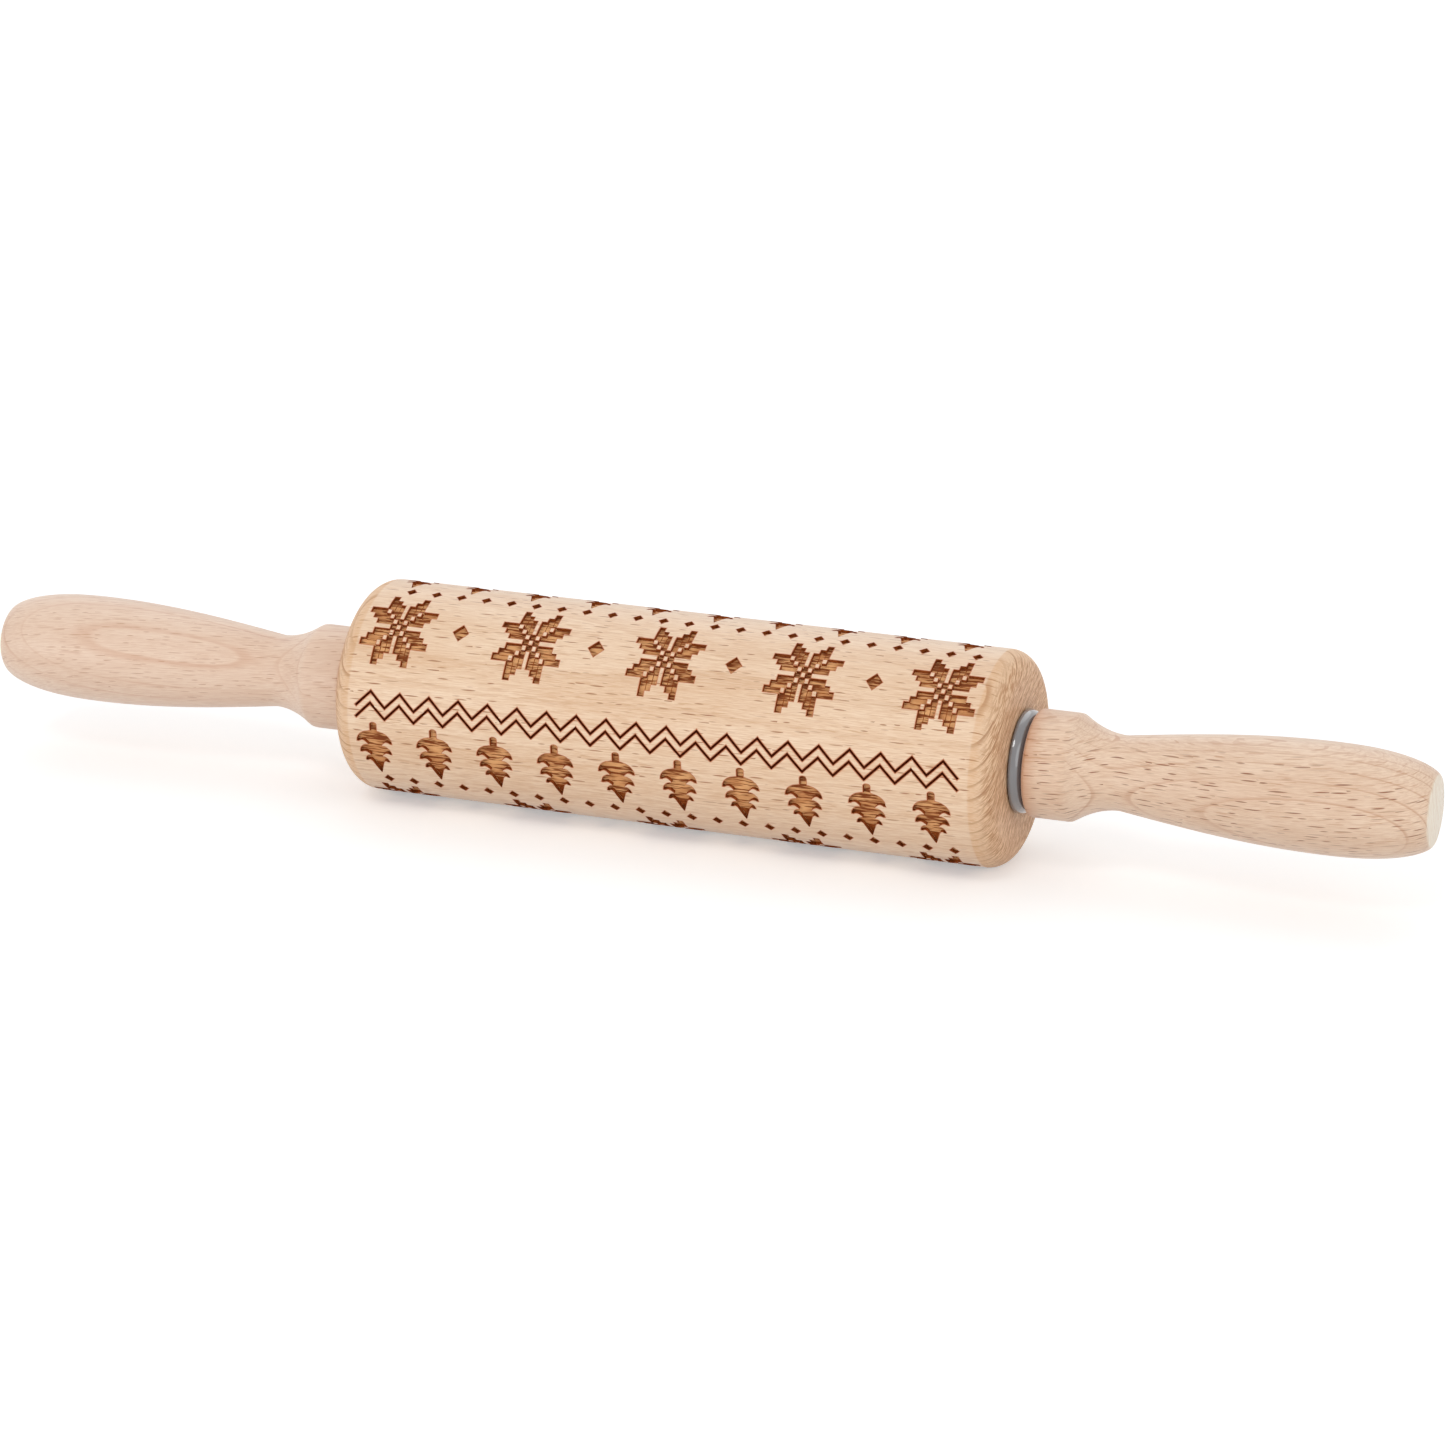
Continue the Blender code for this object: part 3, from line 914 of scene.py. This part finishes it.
def growth_rings(tree, place, wood):
    """Growth rings: how each darkens outwards, and the fine line that ends it."""
    distance = place[2]
    drift = grain_noise(tree, place, RING_DRIFT_CELL, detail=1.0)
    turns = calc(tree, "ADD", calc(tree, "DIVIDE", distance, wood["ring_spacing"]), drift)
    part = calc(tree, "FRACT", calc(tree, "ADD", turns, wood["ring_start"]))
    body = calc(tree, "POWER", part, RING_BODY_POWER)
    clearness = grain_noise(tree, place, RING_CLEARNESS_CELL, detail=1.0)
    clearness = ramp(tree, clearness, *RING_CLEARNESS_LEVELS, RING_FAINTEST, 1.0)
    line = ramp(tree, part, wood["ring_line_from"], RING_LINE_FULL, 0.0, clearness)
    fall = ramp(tree, part, RING_LINE_GOES, 1.0, 1.0, 0.0)
    return calc(tree, "MULTIPLY", body, fall), calc(tree, "MULTIPLY", line, fall)


def side_grain(tree, place, out, body, wood):
    """Colour and height of beech on the faces along the grain."""
    fibres = grain_noise(tree, place, FIBRE_CELL, detail=3.0, roughness=0.65)
    strokes = grain_noise(tree, place, STROKE_CELL, detail=1.0)
    strokes = ramp(tree, strokes, *STROKE_LEVELS)
    groups = grain_noise(tree, place, STROKE_GROUP_CELL, detail=1.0)
    groups = ramp(tree, groups, *STROKE_GROUP_LEVELS, *STROKE_STRENGTHS)
    strokes = calc(tree, "MULTIPLY", strokes, groups)
    clouds = grain_noise(tree, place, CLOUD_CELL)
    flecks = calc(tree, "MULTIPLY", fleck_mask(tree, place, wood), ray_ends(tree, out))
    tone = calc(tree, "MULTIPLY", body, wood["ring_strength"])
    tone = calc(tree, "ADD", tone, ramp(tree, clouds, *CLOUD_LEVELS, 0.0, CLOUD_STRENGTH))
    fibre_tone = ramp(tree, fibres, *FIBRE_LEVELS, 0.0, FIBRE_STRENGTH)
    tone = calc(tree, "ADD", tone, fibre_tone, clamp=True)
    shade = mix(tree, tone, wood["pale"], wood["warm"])
    shade = mix(tree, strokes, shade, wood["stroke"])
    shade = mix(tree, flecks, shade, wood["fleck"])
    height = calc(tree, "SUBTRACT", calc(tree, "MULTIPLY", fibres, FIBRE_HEIGHT), flecks)
    return shade, height


def end_grain(tree, place, across, wood):
    """Colour of beech on the faces across the grain, in close streaks."""
    streaks = grain_noise(tree, place, END_STREAK_CELL, detail=2.0, roughness=0.6)
    strength = ramp(tree, across, *END_STREAK_SLANTS, *END_STREAK_STRENGTHS)
    streaks = ramp(tree, streaks, *END_STREAK_LEVELS, 0.0, strength)
    return mix(tree, streaks, wood["end_pale"], wood["end_warm"])


def wood_tones(tree, wood):
    """Colour and height of bare beech, with painted shade on a handle's collar next to the bush."""
    place, out = grain_place(tree, wood)
    body, line = growth_rings(tree, place, wood)
    across = slant(tree)
    shade, height = side_grain(tree, place, out, body, wood)
    turned_across = ramp(tree, across, *wood["end_from"])
    shade = mix(tree, turned_across, shade, end_grain(tree, place, across, wood))
    strength = ramp(tree, across, *ROUNDING_SLANTS, wood["ring_line"], wood["end_ring_line"])
    shade = mix(tree, calc(tree, "MULTIPLY", line, strength), shade, wood["ring"])
    edge_comes = ramp(tree, across, *ROUNDING_SLANTS, 0.0, wood["edge_tint"])
    edge_goes = ramp(tree, across, *EDGE_TINT_FADE, 1.0, 0.0)
    shade = mix(tree, calc(tree, "MULTIPLY", edge_comes, edge_goes), shade, EDGE_TINT)
    # Painted shade, warmed by light bounced off the wood, darkens the collar's end next to the bush
    from_middle = calc(tree, "ABSOLUTE", place[0])
    collar_end = HANDLE_START_X + COLLAR_PAINTED_SHADE_LENGTH
    collar = ramp(tree, from_middle, HANDLE_START_X, collar_end, wood["collar_painted_shade"], 0.0)
    return mix(tree, collar, shade, COLLAR_PAINTED_SHADE), height


def bend_surface(tree, shader, height, distance, strength):
    """Let a height pattern bend the surface of a material."""
    inputs = {"Height": height, "Distance": distance, "Strength": strength}
    bump = add(tree, "ShaderNodeBump", inputs).outputs[0]
    tree.links.new(bump, shader.inputs["Normal"])


# Scorch round the cuts: its colour, the share of the way to the rim where it is full, its strength
SCORCH_COLOUR = colour(190, 98, 42)
SCORCH_FULL_AT = 0.8
SCORCH_STRENGTH = 0.95


def beech(name, wood, scorched=False, specular=0.5, sheen=0.35):
    """Sanded bare beech; a scorched one is browned round the cuts."""
    material, tree, shader = new_material(name)
    shade, height = wood_tones(tree, wood)
    if scorched:
        mark = add(tree, "ShaderNodeAttribute", attribute_name="scorch").outputs["Fac"]
        browned = ramp(tree, mark, 0.0, SCORCH_FULL_AT, 0.0, SCORCH_STRENGTH)
        shade = mix(tree, browned, shade, SCORCH_COLOUR)
    tree.links.new(shade, shader.inputs["Base Color"])
    bend_surface(tree, shader, height, distance=0.00003, strength=0.6)
    shader.inputs["Roughness"].default_value = 0.48
    shader.inputs["Specular IOR Level"].default_value = specular
    shader.inputs["Sheen Weight"].default_value = sheen
    shader.inputs["Sheen Roughness"].default_value = 0.5
    return material


def burnt_floor():
    """The engraving's floor: browned wood with darker streaks along the grain."""
    material, tree, shader = new_material("roller_engraving_floor")
    pale = colour(234, 176, 120)
    brown = colour(208, 144, 92)
    dark = colour(132, 68, 32)
    place = grain_place(tree, ROLLER_WOOD)[0]
    streaks = grain_noise(tree, place, BURNT_STREAK_CELL, detail=2.0, roughness=0.6)
    patches = grain_noise(tree, place, BURNT_PATCH_CELL, detail=1.0)
    shade = mix(tree, ramp(tree, patches, *BURNT_PATCH_LEVELS), pale, brown)
    shade = mix(tree, ramp(tree, streaks, *BURNT_STREAK_LEVELS), shade, dark)
    tree.links.new(shade, shader.inputs["Base Color"])
    bend_surface(tree, shader, streaks, distance=0.0001, strength=0.7)
    shader.inputs["Roughness"].default_value = 0.8
    shader.inputs["Specular IOR Level"].default_value = 0.15
    return material


def burnt_edge(name, dark, light):
    """Scorched wood of the walls and of the fine lines."""
    material, tree, shader = new_material(name)
    place = grain_place(tree, ROLLER_WOOD)[0]
    soot = grain_noise(tree, place, SOOT_CELL)
    shade = mix(tree, ramp(tree, soot, *SOOT_LEVELS), dark, light)
    tree.links.new(shade, shader.inputs["Base Color"])
    bend_surface(tree, shader, soot, distance=0.00005, strength=0.6)
    shader.inputs["Roughness"].default_value = 0.9
    shader.inputs["Specular IOR Level"].default_value = 0.05
    return material


def grey_plastic():
    """Moulded plastic with a clear gloss and a faint haze."""
    material, tree, shader = new_material("bush_grey_plastic")
    spot = add(tree, "ShaderNodeTexCoord").outputs["Object"]
    haze = noise(tree, spot, scale=250.0)["Fac"]
    shade = mix(tree, haze, colour(112, 112, 116), colour(122, 122, 126))
    tree.links.new(shade, shader.inputs["Base Color"])
    tree.links.new(ramp(tree, haze, 0.2, 0.8, 0.13, 0.18), shader.inputs["Roughness"])
    shader.inputs["Specular IOR Level"].default_value = 1.0
    shader.inputs["Coat Weight"].default_value = 1.0
    shader.inputs["Coat Roughness"].default_value = 0.08
    return material


def drawn_steel():
    """Steel with fine lines along the rod."""
    material, tree, shader = new_material("axle_drawn_steel")
    spot = add(tree, "ShaderNodeTexCoord").outputs["Object"]
    stretched = add(tree, "ShaderNodeMapping", {"Vector": spot, "Scale": (40.0, 3000.0, 3000.0)})
    lines = noise(tree, stretched.outputs[0], scale=1.0)["Fac"]
    shade = mix(tree, lines, colour(188, 188, 192), colour(208, 208, 210))
    tree.links.new(shade, shader.inputs["Base Color"])
    tree.links.new(ramp(tree, lines, 0.3, 0.7, 0.25, 0.4), shader.inputs["Roughness"])
    shader.inputs["Metallic"].default_value = 1.0
    return material


# Stage

def seen_directly(tree):
    """One for the rays that show the background itself or its reflection."""
    rays = add(tree, "ShaderNodeLightPath").outputs
    shown = calc(tree, "MAXIMUM", rays["Is Camera Ray"], rays["Is Glossy Ray"])
    return calc(tree, "MAXIMUM", shown, rays["Is Transmission Ray"])


def make_world():
    world = bpy.data.worlds.new("studio")
    bpy.context.scene.world = world
    world.use_nodes = True
    tree = world.node_tree
    background = tree.nodes["Background"]
    background.inputs["Color"].default_value = (1.0, 1.0, 1.0, 1.0)
    seen = seen_directly(tree)
    level = add(
        tree,
        "ShaderNodeMapRange",
        {"Value": seen, "To Min": WORLD_LEVEL, "To Max": 1.0},
    ).outputs[0]
    tree.links.new(level, background.inputs["Strength"])


def make_floor():
    half = FLOOR_SIZE / 2
    mesh = bpy.data.meshes.new("floor")
    corners = [(-half, -half, 0), (half, -half, 0), (half, half, 0), (-half, half, 0)]
    mesh.from_pydata(corners, [], [(0, 1, 2, 3)])
    floor = bpy.data.objects.new("floor", mesh)
    bpy.context.scene.collection.objects.link(floor)
    material, tree, shader = new_material("floor_white")
    shader.inputs["Base Color"].default_value = (*FLOOR_COLOUR, 1.0)
    shader.inputs["Roughness"].default_value = 1.0
    shader.inputs["Specular IOR Level"].default_value = 0.0
    shader.inputs["Emission Color"].default_value = (1.0, 1.0, 1.0, 1.0)
    glow = calc(tree, "MULTIPLY", seen_directly(tree), FLOOR_GLOW)
    tree.links.new(glow, shader.inputs["Emission Strength"])
    mesh.materials.append(material)


def make_suns():
    for name, towards, level, spread in SUNS:
        data = bpy.data.lights.new(name, "SUN")
        data.energy = math.pi * level
        data.angle = math.radians(spread)
        sun = bpy.data.objects.new(name, data)
        sun.rotation_euler = Vector(towards).to_track_quat("Z", "Y").to_euler()
        bpy.context.scene.collection.objects.link(sun)


def make_camera():
    """The photograph's view, with the roller's centre on its own pixel."""
    azimuth = math.radians(CAMERA_AZIMUTH)
    elevation = math.radians(CAMERA_ELEVATION)
    right = Vector((math.cos(azimuth), math.sin(azimuth), 0))
    back = Vector((
        math.sin(azimuth) * math.cos(elevation),
        -math.cos(azimuth) * math.cos(elevation),
        math.sin(elevation),
    ))
    up = back.cross(right)
    pixel = CAMERA_DISTANCE / FOCAL_PIXELS
    beside = (ROLLER_CENTRE_PIXEL[0] - PHOTO_SIZE / 2) * pixel
    below = (ROLLER_CENTRE_PIXEL[1] - PHOTO_SIZE / 2) * pixel
    data = bpy.data.cameras.new("photo_camera")
    data.sensor_width = SENSOR_WIDTH_MM
    data.lens = SENSOR_WIDTH_MM * FOCAL_PIXELS / PHOTO_SIZE
    data.clip_start = CAMERA_CLIP_START
    data.clip_end = CAMERA_CLIP_END
    camera = bpy.data.objects.new("photo_camera", data)
    centre = Vector((0, 0, AXIS_HEIGHT))
    camera.location = centre - right * beside + up * below + back * CAMERA_DISTANCE
    camera.rotation_euler = Matrix((right, up, back)).transposed().to_euler()
    bpy.context.scene.collection.objects.link(camera)
    bpy.context.scene.camera = camera


def build():
    """Dress every node; what replaces one rides the node's own body."""
    roller = engraved_roller([
        beech("roller_beech", ROLLER_WOOD, scorched=True),
        burnt_floor(),
        burnt_edge("roller_engraving_wall", colour(120, 54, 18), colour(162, 88, 42)),
        burnt_edge("roller_engraving_line", colour(58, 14, 0), colour(90, 30, 6)),
        beech("roller_end_beech", ROLLER_WOOD, specular=0.2, sheen=0.0),
    ])
    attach(roller, "roller_body")
    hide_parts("roller")
    plastic = grey_plastic()
    left_beech = beech("handle_beech_left", LEFT_WOOD)
    right_beech = beech("handle_beech_right", RIGHT_WOOD)
    bush = bush_outline()
    handle = handle_outline()
    pieces = (
        ("flanged_bush_left", mirrored(bush), plastic, "roller_body", "bush_left", "grey_plastic"),
        ("flanged_bush_right", bush, plastic, "roller_body", "bush_right", "grey_plastic"),
        (
            "turned_handle_left", mirrored(handle), left_beech,
            "handle_body", "handle_left", "handle_beech",
        ),
        (
            "turned_handle_right", handle, right_beech,
            "handle_body", "handle_right", "handle_beech",
        ),
    )
    for name, outline, material, body, node, slot in pieces:
        piece = turned(name, outline, [material])
        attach(piece, body)
        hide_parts(node)
    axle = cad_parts["axle"]
    axle.data.materials.clear()
    axle.data.materials.append(drawn_steel())


build()
make_world()
make_floor()
make_suns()
make_camera()
bpy.context.scene.view_settings.view_transform = "Standard"
